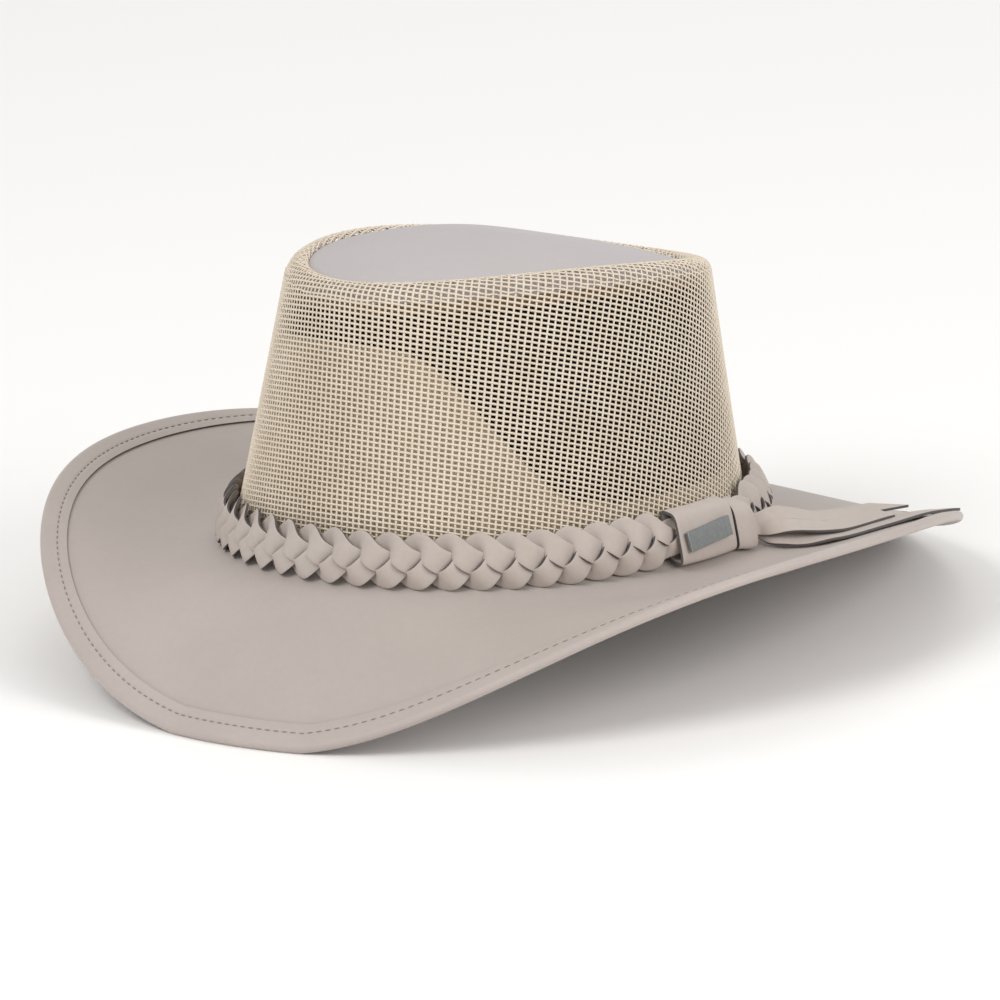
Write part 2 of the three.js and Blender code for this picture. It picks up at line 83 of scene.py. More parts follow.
bpy.context.scene.view_settings.view_transform = "Standard"


# The floor is plain pale card. A node is added with its settings and its inputs, which are values or
# other nodes' sockets.
def linear(hex_colour):
    channels = [int(hex_colour[i : i + 2], 16) / 255 for i in (1, 3, 5)]
    return [c / 12.92 if c <= 0.04045 else ((c + 0.055) / 1.055) ** 2.4 for c in channels] + [1]


def add_node(tree, kind, inputs, **settings):
    node = tree.nodes.new("ShaderNode" + kind)
    for key, value in settings.items():
        setattr(node, key, value)
    for key, value in inputs.items():
        if isinstance(value, bpy.types.NodeSocket):
            tree.links.new(value, node.inputs[key])
        else:
            node.inputs[key].default_value = value
    return node


def start_material(name, **shader_values):
    material = bpy.data.materials.new(name)
    material.use_nodes = True
    shader = material.node_tree.nodes["Principled BSDF"]
    for key, value in shader_values.items():
        shader.inputs[key.replace("_", " ")].default_value = value
    return material, material.node_tree, shader


card, _, card_shader = start_material("pale_card", Roughness=0.9)
card_shader.inputs["Base Color"].default_value = linear("#f6f5f4")
bpy.ops.mesh.primitive_plane_add(size=40)
floor = bpy.context.object
floor.name = "floor"
floor.data.materials.append(card)

# Soft studio light: a white room, a broad lamp high in front on the left, one as strong but lower on
# the right, and a weak one behind. Places are in metres from the hat, as the camera sees them.
world = bpy.data.worlds.new("white_room")
world.use_nodes = True
world.node_tree.nodes["Background"].inputs["Color"].default_value = linear("#fbfaf8")
world.node_tree.nodes["Background"].inputs["Strength"].default_value = 0.66
bpy.context.scene.world = world
LAMPS = {
    "key_lamp": {"right": -1.3, "near": 1.2, "high": 1.9, "size": 1.4, "power": 27},
    "fill_lamp": {"right": 1.9, "near": 1.1, "high": 1.0, "size": 1.5, "power": 25},
    "rear_lamp": {"right": 0.4, "near": -1.5, "high": 1.9, "size": 1.2, "power": 6},
}
away = Vector((backward.x, backward.y, 0)).normalized()
for name, lamp in LAMPS.items():
    place = level * lamp["right"] + away * lamp["near"] + Vector((0, 0, lamp["high"]))
    bpy.ops.object.light_add(type="AREA", location=place)
    light = bpy.context.object
    light.name = name
    light.data.shape = "DISK"
    light.data.size = lamp["size"]
    light.data.energy = lamp["power"]
    light.rotation_euler = place.to_track_quat("Z", "Y").to_euler()


# The brim is one oval sheet of cowhide, 1.2 mm thick, drummed smooth and finished in a matt stone
# colour. It is sewn to the foot of the crown, droops at front and back and is turned up at the sides.
# Angles go round the hat from the front, with 90 degrees at the wearer's left, and lengths are in mm.
CROWN_FOOT = {"front": 103.3, "side": 91, "back": -6.9, "taper": 0, "z": 38.6, "tip": 6.4, "saddle": 1}
CROWN_TOP = {
    "front": 96.8,
    "side": 64.4,
    "back": 3.8,
    "taper": 0.09,
    "z": 138.2,
    "tip": 16.1,
    "saddle": -3.4,
}
BRIM_EDGE = {"front": 175.2, "side": 169.2, "back": 0, "taper": 0, "z": 0, "tip": 0, "saddle": 0}
EDGE_WAVES = [27.5, 5.1, -27.3, -4.1, -1, -0.6, 1]
EDGE_REST = 0.4
FRONT_SAG = {"turn": 14, "depth": 3.4, "narrowness": 16}
BRIM_HOLLOW = {"front": 0.35, "side": 1.0, "dip": 5.8}
BRIM_WAVER = 0.35
CROWN_HEIGHT = CROWN_TOP["z"] - CROWN_FOOT["z"]
LEATHER = 1.2
BINDING_LEATHER = 1.0
GAP = 0.3
FOOTING = 1.7


def oval(ring, angle, out=0.0):
    """A place on a ring of the crown or brim, or at a distance out from it."""
    side = ring["side"] + out
    front = ring["front"] + out
    return np.stack(
        [
            side * np.sin(angle) * (1 - ring["taper"] * np.cos(angle)),
            ring["back"] - front * np.cos(angle),
            ring["z"] + ring["tip"] * np.cos(angle) + ring["saddle"] * np.cos(2 * angle),
        ],
        axis=-1,
    )


def mixed(low, high, share):
    return low + (high - low) * np.asarray(share)[..., None]


def on_wall(angle, out, up):
    """A place at the crown's wall: out from its face, up from the brim's middle at its foot."""
    return mixed(oval(CROWN_FOOT, angle, out), oval(CROWN_TOP, angle, out), up / CROWN_HEIGHT)


def brim_edge(angle):
    """The brim's outer edge. EDGE_WAVES are the heights of its waves, from none to six a round."""
    edge = oval(BRIM_EDGE, angle)
    edge[..., 2] = sum(height * np.cos(n * angle) for n, height in enumerate(EDGE_WAVES))
    aside = np.cos(angle - math.radians(FRONT_SAG["turn"])) - 1
    sag = FRONT_SAG["depth"] * np.exp(FRONT_SAG["narrowness"] * aside)
    edge[..., 2] = np.maximum(edge[..., 2] - sag, EDGE_REST)
    return edge


def brim_middle(angle, share):
    """The middle of the brim's leather: share 0 at the crown, 1 at the edge."""
    foot = oval(CROWN_FOOT, angle)
    edge = brim_edge(angle)
    sideways = np.sin(angle) ** 2
    bend = BRIM_HOLLOW["front"] + (BRIM_HOLLOW["side"] - BRIM_HOLLOW["front"]) * sideways
    rise = (1 - bend) * share + bend * share**2
    dip = BRIM_HOLLOW["dip"] * sideways * 6.75 * share * (1 - share) ** 2
    place = mixed(foot, edge, share)
    place[..., 2] = foot[..., 2] + (edge[..., 2] - foot[..., 2]) * rise - dip
    return place


def unit(vectors):
    return vectors / np.linalg.norm(vectors, axis=-1, keepdims=True)


def brim_normal(angle, share):
    step = 0.01
    along = brim_middle(angle + step, share) - brim_middle(angle - step, share)
    outward = brim_middle(angle, share + step) - brim_middle(angle, share - step)
    return unit(np.cross(outward, along))


def brim_width(angle):
    return np.linalg.norm(brim_middle(angle, 1.0) - brim_middle(angle, 0.0), axis=-1)


def on_brim(angle, inward, above):
    """A place on the brim: inward from its edge, above the middle of its leather."""
    share = 1 - inward / brim_width(angle)
    return brim_middle(angle, share) + brim_normal(angle, share) * np.asarray(above)[..., None]


def laid_sheet(name, columns, rows, place, closed=False):
    """A flat grid laid by place(u, v), u from 0 to 1 along it and v from -1 to 1 across it, in mm."""
    bpy.ops.mesh.primitive_grid_add(x_subdivisions=columns, y_subdivisions=rows, size=2)
    piece = bpy.context.object
    piece.name = name
    piece.data.name = name
    flat = np.empty(len(piece.data.vertices) * 3, np.float32)
    piece.data.vertices.foreach_get("co", flat)
    x, y, _ = flat.reshape(-1, 3).astype(float).T
    laid = place((x + 1) / 2, y) * MM
    piece.data.vertices.foreach_set("co", laid.astype(np.float32).ravel())
    if closed:
        bpy.ops.object.mode_set(mode="EDIT")
        bpy.ops.mesh.select_all(action="SELECT")
        bpy.ops.mesh.remove_doubles(threshold=1e-6)
        bpy.ops.object.mode_set(mode="OBJECT")
    piece.data.update()
    return piece


def use_modifier(piece, kind, **settings):
    modifier = piece.modifiers.new(kind.lower(), kind)
    for key, value in settings.items():
        setattr(modifier, key, value)
    bpy.context.view_layer.objects.active = piece
    bpy.ops.object.modifier_apply(modifier=modifier.name)


def finish_leather(piece, thickness, materials, rounding=0.25):
    """Gives a laid sheet its thickness; the last of its materials is its cut edge."""
    for material in materials:
        piece.data.materials.append(material)
    rim = len(piece.data.materials) - 1
    use_modifier(piece, "SOLIDIFY", thickness=thickness * MM, offset=0, material_offset_rim=rim)
    if rounding:
        limit = math.radians(50)
        use_modifier(piece, "BEVEL", width=rounding * MM, segments=2, angle_limit=limit)
    bpy.ops.object.shade_smooth_by_angle(angle=math.radians(45))


def leather_material(name, light, shade, grain=0.9, depth=0.12, roughness=0.58):
    """Finished cowhide: fine pebbled grain in cells of grain mm, cloudy colour and a soft sheen."""
    material, tree, shader = start_material(name, Roughness=roughness)
    shader.inputs["Sheen Weight"].default_value = 0.12
    shader.inputs["Sheen Roughness"].default_value = 0.5
    shader.inputs["Specular IOR Level"].default_value = 0.38
    place = add_node(tree, "TexCoord", {}).outputs["Object"]
    clouds = add_node(tree, "TexNoise", {"Vector": place, "Scale": 14, "Detail": 5, "Roughness": 0.6})
    specks = add_node(tree, "TexNoise", {"Vector": place, "Scale": 420, "Detail": 3})
    blend = add_node(
        tree,
        "MapRange",
        {"Value": clouds.outputs["Fac"], "From Min": 0.3, "From Max": 0.7, "To Min": 0, "To Max": 0.75},
    )
    speckled = add_node(
        tree,
        "MapRange",
        {"Value": specks.outputs["Fac"], "From Min": 0.3, "From Max": 0.75, "To Min": 0, "To Max": 0.3},
    )
    total = add_node(
        tree, "Math", {0: blend.outputs["Result"], 1: speckled.outputs["Result"]}, operation="ADD"
    )
    colour = add_node(
        tree,
        "Mix",
        {"Factor": total.outputs["Value"], "A": linear(light), "B": linear(shade)},
        data_type="RGBA",
    )
    tree.links.new(colour.outputs[2], shader.inputs["Base Color"])
    cells = add_node(
        tree,
        "TexVoronoi",
        {"Vector": place, "Scale": 1 / (grain * MM)},
        feature="SMOOTH_F1",
    )
    pores = add_node(tree, "TexNoise", {"Vector": place, "Scale": 2600, "Detail": 2})
    mixed_grain = add_node(
        tree, "Math", {0: cells.outputs["Distance"], 1: pores.outputs["Fac"]}, operation="ADD"
    )
    bump = add_node(
        tree,
        "Bump",
        {"Height": mixed_grain.outputs["Value"], "Strength": depth, "Distance": 0.0002},
    )
    tree.links.new(bump.outputs["Normal"], shader.inputs["Normal"])
    return material


brim_leather = leather_material("smooth_stone_cowhide", "#b4aaa4", "#aba19b")


def lay_brim(u, v):
    angle = u * math.tau
    width = brim_width(angle)
    inner = -FOOTING / width
    outer = 1 - (BINDING_LEATHER + GAP) / width
    share = inner + (outer - inner) * (v + 1) / 2
    place = brim_middle(angle, share)
    free = np.clip(share, 0, 1) * (1 - np.clip(share, 0, 1)) * 4
    waver = np.sin(3 * angle + 1) * np.sin(5 * share + 2 * angle)
    place[..., 2] += BRIM_WAVER * free**2 * waver
    return place


brim = laid_sheet("brim_sheet", 288, 26, lay_brim, closed=True)
finish_leather(brim, LEATHER, [brim_leather], rounding=0)
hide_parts("brim")
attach(brim, "root")

# The binding is a strip of the same hide, folded over the brim's edge and stitched through near its
# raw cut edges, which are charcoal: partly their own colour and partly painted shade.
BINDING_WIDTH = 10
BINDING_ABOVE = LEATHER / 2 + GAP + BINDING_LEATHER / 2
STITCHES = 292
STITCH_INWARD = 6.5
STITCH = {"length": 2.3, "width": 0.55, "height": 0.4, "sunk": 0.12}
STITCH_GROOVE = {"depth": 0.25, "width": 0.5}
STITCH_PULL = {"depth": 0.05, "width": 1.5}
PRESSED_EDGE = 0.45
binding_leather = leather_material("folded_cowhide_binding", "#b6aba5", "#aba19b", roughness=0.52)
# Charcoal for all cut edges: partly the hide's own edge colour, partly painted shade on edges facing away
# from the light.
dark_edge_and_shade = leather_material("charcoal_edge_and_painted_shade", "#696564", "#4c4847", grain=0.4, depth=0.4, roughness=0.8)


def folded_section(across):
    """Inward and above for a distance across the folded strip, from its fold, over the top if positive."""
    radius = BINDING_ABOVE
    quarter = radius * math.pi / 2
    bend = np.clip(np.abs(across) / quarter, 0, 1) * math.pi / 2
    inward = BINDING_LEATHER / 2 + radius * (1 - np.cos(bend)) + np.maximum(np.abs(across) - quarter, 0)
    groove = STITCH_GROOVE["depth"] * np.exp(-(((inward - STITCH_INWARD) / STITCH_GROOVE["width"]) ** 2))
    skived = PRESSED_EDGE * np.clip((inward - STITCH_INWARD) / (BINDING_WIDTH - STITCH_INWARD), 0, 1)
    return inward, np.sign(across) * (radius * np.sin(bend) - groove - skived)


def lay_binding(u, v):
    angle = u * math.tau
    half = BINDING_ABOVE * math.pi / 2 + BINDING_WIDTH - BINDING_LEATHER / 2 - BINDING_ABOVE
    inward, above = folded_section(v * half)
    near = np.exp(-(((inward - STITCH_INWARD) / STITCH_PULL["width"]) ** 2))
    pulled = STITCH_PULL["depth"] * np.sin(angle * STITCHES) * near
    return on_brim(angle, inward, above + np.sign(above) * pulled)


binding = laid_sheet("bound_edge", 540, 44, lay_binding, closed=True)
finish_leather(binding, BINDING_LEATHER, [binding_leather, dark_edge_and_shade], rounding=0)

# Where the hat stands, its own weight flattens the binding on the floor.
heights = np.empty(len(binding.data.vertices) * 3, np.float32)
binding.data.vertices.foreach_get("co", heights)
heights[2::3] = np.maximum(heights[2::3], 0)
binding.data.vertices.foreach_set("co", heights)
binding.data.update()
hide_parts("brim_binding")
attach(binding, "root")

# The stitches are polyester thread, one short bead for each, on both faces of the binding.
thread, _, thread_shader = start_material("polyester_thread_painted_shade", Roughness=0.6)
# Grey-brown thread colour: the thread's own tone, darkened with painted shade for the stitch holes.
thread_shader.inputs["Base Color"].default_value = linear("#877b73")


def many_copies(name, base, origins, axes, material):
    """One mesh of copies of a small mesh: each has an origin and three axes, in mm."""
    local = np.array([vertex.co for vertex in base.data.vertices])
    faces = [list(polygon.vertices) for polygon in base.data.polygons]
    placed = origins[:, None, :] + np.einsum("vk,nkc->nvc", local, axes)
    mesh = bpy.data.meshes.new(name)
    count = len(local)
    every = [[i + count * n for i in face] for n in range(len(origins)) for face in faces]
    mesh.from_pydata((placed.reshape(-1, 3) * MM).tolist(), [], every)
    mesh.materials.append(material)
    mesh.shade_smooth()
    bpy.data.objects.remove(base)
    piece = bpy.data.objects.new(name, mesh)
    bpy.context.scene.collection.objects.link(piece)
    return piece


bpy.ops.mesh.primitive_uv_sphere_add(segments=8, ring_count=6, radius=1)
bead = bpy.context.object
bead.data.transform(Matrix.Diagonal((STITCH["length"] / 2, STITCH["width"] / 2, STITCH["height"] / 2, 1)))
stitch_angles = np.arange(STITCHES) / STITCHES * math.tau
origins = []
axes = []
for face in (1, -1):
    seat = face * (BINDING_ABOVE + BINDING_LEATHER / 2 - STITCH["sunk"])
    here = on_brim(stitch_angles, STITCH_INWARD, seat)
    ahead = unit(on_brim(stitch_angles + 0.005, STITCH_INWARD, seat) - here)
    over = unit(on_brim(stitch_angles, STITCH_INWARD, seat + face) - here)
    origins.append(here)
    axes.append(np.stack([ahead, np.cross(over, ahead), over], axis=1))
stitches = many_copies("brim_stitches", bead, np.concatenate(origins), np.concatenate(axes), thread)
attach(stitches, "root")

# The crown's wall is a coarse net of coated yarn. It is cut from the flat as a cone is, joined at the
# back, and its top edge rolls in to the seam with the leather top. Threads pass over and under, and
# each is a flattened tube of four sides. Every second thread goes into one mesh and the rest in another.
NET_COLUMN = 2.5
NET_ROW = 1.92
THREAD_WIDTH = 0.96
THREAD_THICKNESS = 0.6
WEAVE_DEPTH = 0.11
NET_DEPTH = 0.55
CONE_SHARE = 0.26
NET_ROWS = 107
NET_FOOT = 2.0
ROLL_INWARD = [0, 0.25, 1.4, 4.4, 7.4, 8.6]
ROLL_UP = [-4, -2.2, -0.4, 1.25, 1.1, -0.6]

fine_angles = np.linspace(-math.pi, math.pi, 721)
foot_line = oval(CROWN_FOOT, fine_angles, 4)[:, :2]
foot_steps = np.linalg.norm(np.diff(foot_line, axis=0), axis=1)
foot_lengths = np.concatenate([[0], np.cumsum(foot_steps)])
FOOT_ROUND = foot_lengths[-1]


def angle_at_length(length):
    """The angle at a length laid round the crown's foot, from the front."""
    wrapped = (np.asarray(length) / FOOT_ROUND + 0.5) % 1.0
    return np.interp(wrapped * FOOT_ROUND, foot_lengths, fine_angles)


def wall_height(angle):
    return np.linalg.norm(oval(CROWN_TOP, angle) - oval(CROWN_FOOT, angle), axis=-1)


roll_steps = np.hypot(np.diff(ROLL_INWARD), np.diff(ROLL_UP))
roll_marks = np.concatenate([[0], np.cumsum(roll_steps)])
ROLL_LENGTH = roll_marks[-1]


def net_surface(turn, up):
    """The middle of the net at a turn (share of the foot's length) and a distance up its wall."""
    angle = angle_at_length(turn * FOOT_ROUND)
    height = wall_height(angle)
    straight = height + ROLL_UP[0]
    wall = on_wall(angle, -NET_DEPTH, np.minimum(up, straight) * CROWN_HEIGHT / height)
    past = np.maximum(up - straight, 0)
    inward = np.interp(past, roll_marks, ROLL_INWARD)
    rise = np.interp(past, roll_marks, ROLL_UP)
    rolled = oval(CROWN_TOP, angle, -inward - NET_DEPTH * 0.6)
    rolled[..., 2] += rise - NET_DEPTH * 0.8
    share = np.clip(past / 1.5, 0, 1)
    return mixed(wall, rolled, share)


FLAT_RADIUS = FOOT_ROUND / math.tau / CONE_SHARE


def net_place(across, down):
    """From the flat net, with rows level at the front, to turn and up."""
    radius = np.hypot(across, FLAT_RADIUS - down)
    turn = np.arctan2(across, FLAT_RADIUS - down) / CONE_SHARE / math.tau
    return turn, FLAT_RADIUS - radius


def net_threads(name, first_line, along_rows, material):
    """Every second thread of one direction, from first_line on, as flattened tubes."""
    reach = FLAT_RADIUS * math.sin(math.pi * CONE_SHARE)
    rows = np.arange(NET_ROWS) * NET_ROW
    columns = np.arange(-round(reach / NET_COLUMN) - 2, round(reach / NET_COLUMN) + 3) * NET_COLUMN
    lines = rows if along_rows else columns
    crossings = columns if along_rows else rows
    steps = np.arange(2 * len(crossings) - 1)
    run = crossings[0] + (crossings[1] - crossings[0]) / 2 * steps
    vertices = []
    faces = []
    total = 0
    for index, line in list(enumerate(lines))[first_line::2]:
        across, down = (run, np.full_like(run, line)) if along_rows else (np.full_like(run, line), run)
        turn, up = net_place(across, down)
        top = wall_height(angle_at_length(turn * FOOT_ROUND)) + ROLL_UP[0] + ROLL_LENGTH
        inside = (up > NET_FOOT) & (up < top) & (np.abs(turn) < 0.5)
        breaks = np.flatnonzero(np.diff(np.concatenate([[0], inside.astype(int), [0]])))
        for first, last in zip(breaks[::2], breaks[1::2]):
            if last - first < 3:
                continue
            part = slice(first, last)
            wave = WEAVE_DEPTH * np.cos(steps[part] * math.pi / 2) * (-1) ** index
            wave = wave if along_rows else -wave
            small = 0.001
            middle = net_surface(turn[part], up[part])
            ahead_turn = net_surface(turn[part] + small, up[part]) - middle
            ahead_up = net_surface(turn[part], up[part] + small * FOOT_ROUND) - middle
            normal = unit(np.cross(ahead_turn, ahead_up))
            line_way = unit(np.gradient(middle, axis=0))
            width_way = np.cross(normal, line_way) * THREAD_WIDTH / 2
            depth_way = normal * THREAD_THICKNESS / 2
            core = middle + normal * wave[:, None]
            around = [core + width_way, core + depth_way, core - width_way, core - depth_way]
            vertices.append(np.stack(around, axis=1).reshape(-1, 3))
            count = last - first
            starts = total + 4 * np.arange(count - 1)[:, None]
            corner = np.arange(4)
            following = (corner + 1) % 4
            quads = np.stack(
                [starts + corner, starts + following, starts + 4 + following, starts + 4 + corner], axis=-1
            )
            faces.append(quads.reshape(-1, 4))
            faces.append(np.array([[total + 3, total + 2, total + 1, total]]))
            end = total + 4 * (count - 1)
            faces.append(np.array([[end, end + 1, end + 2, end + 3]]))
            total += 4 * count
    mesh = bpy.data.meshes.new(name)
    mesh.from_pydata((np.concatenate(vertices) * MM).tolist(), [], np.concatenate(faces).tolist())
    mesh.materials.append(material)
    mesh.shade_smooth()
    piece = bpy.data.objects.new(name, mesh)
    bpy.context.scene.collection.objects.link(piece)
    bpy.context.view_layer.objects.active = piece
    piece.select_set(True)
    bpy.ops.object.mode_set(mode="EDIT")
    bpy.ops.mesh.select_all(action="SELECT")
    bpy.ops.mesh.normals_make_consistent(inside=False)
    bpy.ops.object.mode_set(mode="OBJECT")
    piece.select_set(False)
    return piece


# Coated yarn: a cream polymer skin over spun thread, with faint fibre streaks under a satin gloss.
yarn, yarn_tree, yarn_shader = start_material("coated_cream_yarn", Roughness=0.5)
yarn_shader.inputs["Specular IOR Level"].default_value = 0.45
yarn_place = add_node(yarn_tree, "TexCoord", {}).outputs["Object"]
yarn_noise = add_node(yarn_tree, "TexNoise", {"Vector": yarn_place, "Scale": 900, "Detail": 3})
yarn_cloud = add_node(yarn_tree, "TexNoise", {"Vector": yarn_place, "Scale": 60, "Detail": 2})
yarn_mix = add_node(
    yarn_tree,
    "Math",
    {0: yarn_noise.outputs["Fac"], 1: yarn_cloud.outputs["Fac"]},
    operation="MULTIPLY",
)
yarn_colour = add_node(
    yarn_tree,
    "Mix",
    {"Factor": yarn_mix.outputs["Value"], "A": linear("#e3d7c6"), "B": linear("#b9a88f")},
    data_type="RGBA",
)
yarn_tree.links.new(yarn_colour.outputs[2], yarn_shader.inputs["Base Color"])
yarn_bump = add_node(
    yarn_tree, "Bump", {"Height": yarn_noise.outputs["Fac"], "Strength": 0.3, "Distance": 0.0001}
)
yarn_tree.links.new(yarn_bump.outputs["Normal"], yarn_shader.inputs["Normal"])

for first_line, parity in enumerate(("even", "odd")):
    for direction, along_rows in (("rows", True), ("columns", False)):
        net = net_threads(f"net_{direction}_{parity}", first_line, along_rows, yarn)
        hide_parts("crown_net")
        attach(net, "root")

# The top is a smooth oval of the same hide, domed, sewn to the rolled net. Its sewing allowance turns
# down behind the net. Its steep faces well under the rim are painted brown as painted shade for the dark
# behind the net, and show through the holes.
TIP_INSET = 9.7
TIP_DOME = 10.5
TIP_SUNK = 0.4
TIP_TURN_INSET = [9.9, 7.4, 3.2, 2.5, 2.3]
TIP_TURN_DROP = [1.9, 3.2, 5.8, 7.4, 9.0]
TIP_FACE = 0.8
ALLOWANCE_SHADE = {"from": 3, "steep": 0.75}
# Brown allowance colour: painted shade, not the hide's own colour, which is stone on this face.
painted_allowance_shade = leather_material("brown_painted_shade", "#8a7355", "#77624a", grain=0.5, depth=0.3, roughness=0.85)
tip_leather = leather_material("smooth_stone_top", "#b6b0b1", "#aea8a8", depth=0.08)


def lay_tip(u, v):
    angle = u * math.tau
    part = (v + 1) / 2
    share = np.clip(part / TIP_FACE, 1e-4, 1)
    rim = oval(CROWN_TOP, angle, -TIP_INSET)
    middle = np.zeros_like(rim) + [0, CROWN_TOP["back"], CROWN_TOP["z"]]
    face = mixed(middle, rim, share)
    face[..., 2] += TIP_DOME * (1 - share**2) - TIP_SUNK - LEATHER / 2
    down = np.clip((part - TIP_FACE) / (1 - TIP_FACE), 0, 1) * (len(TIP_TURN_INSET) - 1)
    order = np.arange(len(TIP_TURN_INSET))
    inset = np.interp(down, order, TIP_TURN_INSET)
    drop = np.interp(down, order, TIP_TURN_DROP)
    turned = on_wall(angle, -inset, CROWN_HEIGHT - drop)
    return np.where((part > TIP_FACE + 1e-6)[..., None], turned, face)


tip = laid_sheet("crown_top", 144, 40, lay_tip, closed=True)
# Steep faces well under the top's rim take the brown painted shade.
for face in tip.data.polygons:
    x, y, z = face.center / MM
    angle = np.arctan2(x / CROWN_TOP["side"], (CROWN_TOP["back"] - y) / CROWN_TOP["front"])
    drop = oval(CROWN_TOP, angle)[2] - z
    face.material_index = int(drop > ALLOWANCE_SHADE["from"] and abs(face.normal.z) < ALLOWANCE_SHADE["steep"])
tip.data.materials.append(tip_leather)
finish_leather(tip, LEATHER * 0.9, [painted_allowance_shade], rounding=0)
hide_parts("crown_tip")
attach(tip, "root")

# A black sheet of painted shade backs the net all round, from the sweatband up to the top's turned
# edge. It stands for the dark inside of the crown. It is held between them, flat against the net, and
# makes the net's holes look black.
SHEET_THICKNESS = 0.5
SHADE_SHEET_DEPTH = 3.3
SWEATBAND_HEIGHT = 22
TOP_ALLOWANCE = 9
shade_sheet, dark_tree, dark_shader = start_material("black_painted_shade_sheet", Roughness=0.95)
dark_shader.inputs["Specular IOR Level"].default_value = 0.1


def weave_bump(tree, shader, pitch, strength):
    """The relief of a plain weave, as crossed waves of thread pitch, in mm."""
    place = add_node(tree, "TexCoord", {}).outputs["Object"]
    waves = []
    for direction in ("X", "Z"):
        wave = add_node(
            tree,
            "TexWave",
            {"Vector": place, "Scale": math.tau / 20 / (pitch * MM), "Distortion": 0.6},
            bands_direction=direction,
        )
        waves.append(wave.outputs["Fac"])
    height = add_node(tree, "Math", {0: waves[0], 1: waves[1]}, operation="ADD")
    bump = add_node(
        tree,
        "Bump",
        {"Height": height.outputs["Value"], "Strength": strength, "Distance": 0.0002},
    )
    tree.links.new(bump.outputs["Normal"], shader.inputs["Normal"])


weave_bump(dark_tree, dark_shader, 0.5, 0.4)
# Near-black colour: painted shade for the dark inside of the crown behind the net.
dark_shader.inputs["Base Color"].default_value = linear("#161413")


def lay_backing(u, v):
    low = SWEATBAND_HEIGHT + 2 * GAP
    high = CROWN_HEIGHT - TOP_ALLOWANCE - 2 * GAP
    return on_wall(u * math.tau, -SHADE_SHEET_DEPTH, low + (high - low) * (v + 1) / 2)


def lay_thin_sheet(name, columns, rows, place, material, closed=False):
    """A thin sheet with its area in square metres: the beige cloth, and the black sheet of painted shade.
    """
    sheet_piece = laid_sheet(name, columns, rows, place, closed)
    area = sum(face.area for face in sheet_piece.data.polygons)
    finish_leather(sheet_piece, SHEET_THICKNESS, [material], rounding=0)
    return sheet_piece, area


backing, backing_area = lay_thin_sheet("painted_shade_backing", 144, 12, lay_backing, shade_sheet, closed=True)
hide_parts("net_backing")
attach(backing, "root")

# A beige cloth covers the black sheet of painted shade over the front of the crown. It is cut in one
# sweeping curve that falls away to both sides, and its foot is caught in behind the sweatband.
NET_THICKNESS = 1.1
LINING_THICKNESS = 1.1
LINING_TURNS = [-96, -80, -62, -44, -20, 0, 18, 27, 36, 48, 61, 72]
LINING_SHARES = [0.24, 0.38, 0.6, 0.745, 0.795, 0.805, 0.8, 0.77, 0.69, 0.48, 0.27, 0.24]
beige_cloth, beige_tree, beige_shader = start_material("beige_lining_cloth", Roughness=0.9)
beige_shader.inputs["Base Color"].default_value = linear("#cdbda6")
beige_shader.inputs["Specular IOR Level"].default_value = 0.2
weave_bump(beige_tree, beige_shader, 0.6, 0.5)


def curve_through(marks, values, at):
    """A smooth curve through rows of values that stand at rising marks, read at other marks."""
    marks = np.concatenate([[2 * marks[0] - marks[1]], marks, [2 * marks[-1] - marks[-2]]])
    values = np.concatenate([[2 * values[0] - values[1]], values, [2 * values[-1] - values[-2]]])
    slopes = np.diff(values, axis=0) / np.diff(marks)[:, None]
    wide = (values[2:] - values[:-2]) / (marks[2:] - marks[:-2])[:, None]
    tangents = slopes[:-1] - wide + slopes[1:]
    index = np.clip(np.searchsorted(marks[1:-1], at, side="right") - 1, 0, len(marks) - 4)
    span = (marks[2:] - marks[1:-1])[index][:, None]
    t = (at - marks[1:-1][index])[:, None] / span
    start, end = values[1:-1][index], values[2:][index]
    leave, arrive = tangents[index] * span, tangents[index + 1] * span
    bend = -3 * start + 3 * end - 2 * leave - arrive
    return start + leave * t + bend * t**2 + (2 * start - 2 * end + leave + arrive) * t**3


def lay_lining(u, v):
    turn = LINING_TURNS[0] + (LINING_TURNS[-1] - LINING_TURNS[0]) * u
    marks = np.array(LINING_TURNS, float)
    high = curve_through(marks, np.array(LINING_SHARES)[:, None], turn)[:, 0] * CROWN_HEIGHT
    low = SWEATBAND_HEIGHT + GAP
    middle = -NET_THICKNESS - GAP - LINING_THICKNESS / 2
    return on_wall(np.radians(turn), middle, low + (high - low) * (v + 1) / 2)


lining, lining_area = lay_thin_sheet("front_lining", 168, 16, lay_lining, beige_cloth)
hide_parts("crown_lining")
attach(lining, "root")

# The sweatband is a cotton-faced strip that stands inside the foot of the crown, sewn to the brim's
# inner edge.
SWEATBAND_THICKNESS = 1.3
cotton, cotton_tree, cotton_shader = start_material("cotton_sweatband", Roughness=0.9)
cotton_shader.inputs["Base Color"].default_value = linear("#cbbca6")
cotton_shader.inputs["Specular IOR Level"].default_value = 0.2
weave_bump(cotton_tree, cotton_shader, 0.7, 0.5)


def lay_sweatband(u, v):
    low = -LEATHER / 2 + 0.3
    out = -FOOTING - 2 * GAP - SWEATBAND_THICKNESS / 2
    up = low + (SWEATBAND_HEIGHT - low) * (v + 1) / 2
    return on_wall(u * math.tau, out, up)


sweatband = laid_sheet("sweatband_strip", 144, 10, lay_sweatband, closed=True)
finish_leather(sweatband, SWEATBAND_THICKNESS, [cotton], rounding=0.3)
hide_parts("sweatband")
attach(sweatband, "root")

